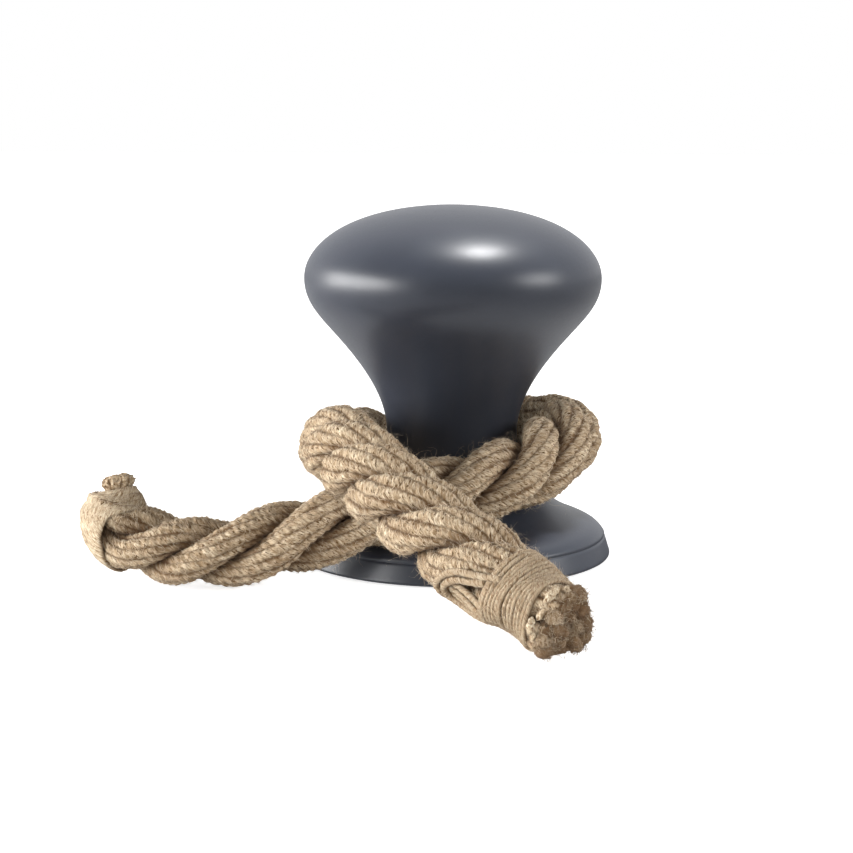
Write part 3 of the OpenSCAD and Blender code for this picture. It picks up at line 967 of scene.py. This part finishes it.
jute = jute_look(
    "jute_rope",
    pale=(0.63, 0.54, 0.40),
    tan=(0.38, 0.285, 0.18),
    deep=(0.16, 0.094, 0.043),
    painted_shade=(0.10, 0.052, 0.022),
    speck=(0.08, 0.038, 0.014),
)
twine = jute_look(
    "jute_twine",
    pale=(0.58, 0.51, 0.385),
    tan=(0.42, 0.33, 0.22),
    deep=(0.18, 0.11, 0.055),
    painted_shade=(0.11, 0.06, 0.027),
    speck=(0.16, 0.09, 0.042),
)
fibres = fibre_look("jute_fibres", pale=(0.58, 0.48, 0.35), brown=(0.11, 0.054, 0.020))
for pieces, material in ((rope_pieces, jute), (twine_pieces, twine), (fibre_pieces, fibres)):
    for piece in pieces:
        piece.data.materials.append(material)
post.data.materials.append(paint_look())

for node, material in (
    ("base_plate", zinc_look("zinc_plate", (0.62, 0.63, 0.64))),
    ("plate_screws", zinc_look("zinc_screws", (0.70, 0.69, 0.66))),
    ("deck_bolt_nut", zinc_look("zinc_nut", (0.66, 0.62, 0.52))),
    ("floor_pad", rubber_look()),
):
    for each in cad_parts[node].material_slots:
        each.material = material


# ---------------------------------------------------------------- floor, light and camera


def stage_floor():
    """A pale floor, evenly white far off.

    The paint sees it pale behind the post and under the head, where it glows for reflections as a painted
    reflection, and dark in front of the foot as painted shade.
    """
    grid = bmesh.new()
    bmesh.ops.create_grid(grid, x_segments=2, y_segments=2, size=8)
    mesh = bpy.data.meshes.new("floor")
    grid.to_mesh(mesh)
    grid.free()
    floor = bpy.data.objects.new("floor", mesh)
    floor.location.z = -0.1 * MM
    bpy.context.scene.collection.objects.link(floor)
    look = new_look("pale_floor")
    path = look.node("ShaderNodeLightPath", {}).outputs
    place = look.place()
    distance = look.node("ShaderNodeVectorMath", {0: place}, operation="LENGTH").outputs["Value"]
    behind = look.rescale(look.split(place)[1], -0.1, 0.35)
    # reflections see the floor painted dark near the foot, as shade, and paler further out
    front = look.mix(look.rescale(distance, 0.08, 0.25), (0.04, 0.04, 0.045), (0.42, 0.42, 0.44))
    mirrored = look.mix(behind, front, (0.8, 0.8, 0.8))
    seen = look.mix(path["Is Camera Ray"], (0.84, 0.82, 0.79), (0.86, 0.86, 0.86))
    colour = look.mix(path["Is Glossy Ray"], seen, mirrored)
    glow = look.calc("MULTIPLY", path["Is Camera Ray"], look.rescale(distance, 0.15, 0.7, 0.75, 1.0))
    # glossy rays that come down steeply see the floor glow: a painted reflection that brightens the head's
    # underside
    incoming = look.node("ShaderNodeNewGeometry", {}).outputs["Incoming"]
    steep = look.rescale(look.split(incoming)[2], 0.3, 0.75, 0.0, 1.0)
    glow = look.calc("ADD", glow, look.calc("MULTIPLY", path["Is Glossy Ray"], steep))
    look.finish(Base_Color=colour, Roughness=0.9, Specular_IOR_Level=0.0)
    mesh.materials.append(look.finish(Emission_Color=(1, 1, 1), Emission_Strength=glow))


def studio_world():
    """White to the camera, and to the object a room that is bright behind and dim in front."""
    look = Look(bpy.data.worlds.new("studio"), "BACKGROUND")
    to_back = look.split(look.place("Generated"))["Y"]
    room = look.rescale(to_back, -0.5, 0.65, 0.27, 0.92, ease="SMOOTHSTEP")
    camera_ray = look.node("ShaderNodeLightPath", {}).outputs["Is Camera Ray"]
    bpy.context.scene.world = look.finish(Color=(1, 1, 1), Strength=look.calc("MAXIMUM", room, camera_ray))


def softbox(name, at, aim, width, height, power, lit):
    """An area light, brightest in its middle. If lit holds any pieces, it shines on those alone."""
    light = bpy.data.lights.new(name, "AREA")
    light.shape = "RECTANGLE"
    light.size, light.size_y = width, height
    light.energy = power
    look = Look(light, "EMISSION")
    across = look.split(look.node("ShaderNodeNewGeometry", {}).outputs["Parametric"])
    from_edge = [look.calc("PINGPONG", across[i], 0.5) for i in range(2)]
    rise = [look.rescale(each, 0, 0.3, 0, 1 / 0.7, ease="SMOOTHSTEP") for each in from_edge]
    look.finish(Strength=look.calc("MULTIPLY", *rise))
    box = bpy.data.objects.new(name, light)
    back = unit(np.array(at) - np.array(aim))
    side = unit(np.cross([0, 0, 1], back))
    up = np.cross(back, side)
    box.matrix_world = Matrix([(side[i], up[i], back[i], at[i]) for i in range(3)] + [(0, 0, 0, 1)])
    bpy.context.scene.collection.objects.link(box)
    if lit:
        group = bpy.data.collections.new(f"{name}_lit")
        for piece in lit:
            group.objects.link(piece)
        box.light_linking.receiver_collection = group


def photo_camera():
    """Looks at the post from the front and a little above. Angles are in radians, the lens in millimetres."""
    pitch, yaw, roll = 0.16088, 0.013509, 0.0045
    level = np.array([-math.sin(yaw), math.cos(yaw), 0])
    side = np.array([math.cos(yaw), math.sin(yaw), 0])
    ahead = math.cos(pitch) * level - math.sin(pitch) * np.array([0, 0, 1])
    up = math.cos(pitch) * np.array([0, 0, 1]) + math.sin(pitch) * level
    x = math.cos(roll) * side + math.sin(roll) * up
    y = -math.sin(roll) * side + math.cos(roll) * up
    data = bpy.data.cameras.new("camera")
    data.lens, data.sensor_width = 80.14, 36
    camera = bpy.data.objects.new("camera", data)
    at = (0, -0.700, 0.1611)
    camera.matrix_world = Matrix([(x[i], y[i], -ahead[i], at[i]) for i in range(3)] + [(0, 0, 0, 1)])
    bpy.context.scene.collection.objects.link(camera)
    bpy.context.scene.camera = camera


stage_floor()
studio_world()
rope_all = [*rope_pieces, *twine_pieces, *fibre_pieces]
for name, at, aim, width, height, power, lit in (
    ("overhead", (0.19, -0.045, 0.95), (0, 0, 0.1), 0.22, 0.22, 10, [post]),
    ("left_box", (-1.1, -0.26, 0.18), (0, 0, 0.06), 1.9, 0.78, 30, []),
    ("right_box", (1.0, -0.38, 0.40), (0, 0, 0.06), 0.7, 0.6, 6.4, []),
    ("rope_fill", (-0.3, -1.15, 0.34), (0, 0, 0.04), 1.3, 0.7, 7.0, rope_all),
    ("rope_left", (-1.0, -0.40, 0.12), (-0.08, -0.05, 0.02), 0.8, 0.5, 3.6, rope_all),
    ("rope_right", (1.0, -0.25, 0.30), (0, 0, 0.05), 0.7, 0.6, 4.5, rope_all),
):
    softbox(name, at, aim, width, height, power, lit)
photo_camera()
bpy.context.scene.view_settings.view_transform = "Standard"
